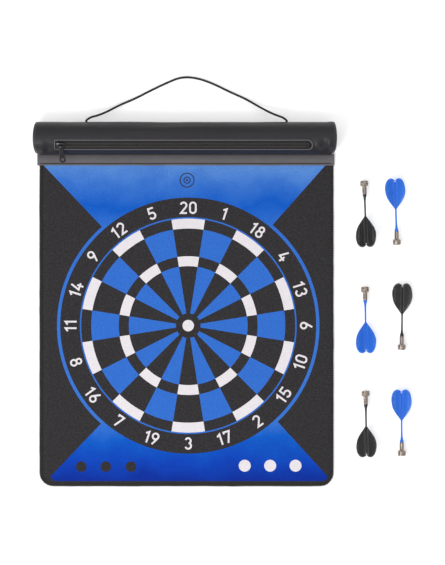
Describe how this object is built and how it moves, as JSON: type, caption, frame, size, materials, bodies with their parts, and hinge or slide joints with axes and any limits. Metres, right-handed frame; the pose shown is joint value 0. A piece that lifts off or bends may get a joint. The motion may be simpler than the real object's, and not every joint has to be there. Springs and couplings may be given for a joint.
{
  "type": "magnetic dartboard",
  "caption": "Roll-up magnetic dartboard: printed felt mat under a zipped tube pouch with a carrying cord, lying beside its magnetic darts.",
  "frame": {"origin": "on the back face, midway between the sides, at the height of the bullseye", "axes": "+X to the right of the printed face, +Y up the board to the pouch, +Z out of the printed face"},
  "size_m": [0.4902, 0.5293, 0.0424],
  "materials": {
    "felt_back": "plain black felt",
    "magnetic_rubber": "iron-filled rubber, matt",
    "printed_felt": "printed felt, blue, white and black",
    "edge_thread": "overlocked polyester thread",
    "strip_leatherette": "grained leatherette",
    "pouch_leatherette": "grained leatherette",
    "sewing_thread": "bonded thread",
    "zip_tape": "woven polyester",
    "zip_coil": "nylon monofilament",
    "black_metal": "gloss black lacquer",
    "cord": "braided cord",
    "plated_steel": "dark nickel plate",
    "magnet": "nickel plate",
    "black_plastic": "moulded plastic",
    "blue_plastic": "moulded plastic"
  },
  "bodies": {
    "board": {"mat_back_felt": "felt_back", "mat_magnetic_sheet": "magnetic_rubber", "mat_front_felt": "printed_felt", "edge_overlock_thread": "edge_thread", "binding_strip_front": "strip_leatherette", "binding_strip_back": "strip_leatherette", "strip_stitching": "sewing_thread"},
    "header": {"header_cover": "pouch_leatherette", "header_end_left": "pouch_leatherette", "header_end_right": "pouch_leatherette", "zipper_tape_upper": "zip_tape", "zipper_tape_lower": "zip_tape", "zipper_coil_upper": "zip_coil", "zipper_coil_lower": "zip_coil", "zipper_top_stops": "black_metal", "zipper_bottom_stop": "black_metal", "window_stitching": "sewing_thread", "cord_knot_left": "cord", "cord_knot_right": "cord"},
    "slider": {"slider_body": "black_metal"},
    "pull": {"zipper_pull": "black_metal"},
    "handle": {"handle_cord": "cord"},
    "dart_1": {"dart_1_head": "plated_steel", "dart_1_flight": "black_plastic", "dart_1_magnet": "magnet"},
    "dart_2": {"dart_2_head": "plated_steel", "dart_2_flight": "blue_plastic", "dart_2_magnet": "magnet"},
    "dart_3": {"dart_3_head": "plated_steel", "dart_3_flight": "blue_plastic", "dart_3_magnet": "magnet"},
    "dart_4": {"dart_4_head": "plated_steel", "dart_4_flight": "black_plastic", "dart_4_magnet": "magnet"},
    "dart_5": {"dart_5_head": "plated_steel", "dart_5_flight": "black_plastic", "dart_5_magnet": "magnet"},
    "dart_6": {"dart_6_head": "plated_steel", "dart_6_flight": "blue_plastic", "dart_6_magnet": "magnet"}
  },
  "joints": [
    {"name": "header_fold", "type": "hinge", "parent": "board", "child": "header", "pos_m": [0, 0.22175, 0], "axis": [1, 0, 0], "range_deg": [-90, 0]},
    {"name": "slider_travel", "type": "slide", "parent": "header", "child": "slider", "axis": [1, 0, 0], "range_m": [0, 0.31]},
    {"name": "pull_swing", "type": "hinge", "parent": "slider", "child": "pull", "pos_m": [-0.1615, 0.23014, 0.04093], "axis": [-1, 0, 0], "range_deg": [0, 195]},
    {"name": "handle_swing", "type": "hinge", "parent": "header", "child": "handle", "pos_m": [0, 0.2643, 0.0203], "axis": [1, 0, 0], "range_deg": [0, 110]},
    {"name": "dart_1_lift", "type": "slide", "parent": "board", "child": "dart_1", "axis": [0, 0, 1], "range_m": [0, 0.15]},
    {"name": "dart_2_lift", "type": "slide", "parent": "board", "child": "dart_2", "axis": [0, 0, 1], "range_m": [0, 0.15]},
    {"name": "dart_3_lift", "type": "slide", "parent": "board", "child": "dart_3", "axis": [0, 0, 1], "range_m": [0, 0.15]},
    {"name": "dart_4_lift", "type": "slide", "parent": "board", "child": "dart_4", "axis": [0, 0, 1], "range_m": [0, 0.15]},
    {"name": "dart_5_lift", "type": "slide", "parent": "board", "child": "dart_5", "axis": [0, 0, 1], "range_m": [0, 0.15]},
    {"name": "dart_6_lift", "type": "slide", "parent": "board", "child": "dart_6", "axis": [0, 0, 1], "range_m": [0, 0.15]}
  ]
}
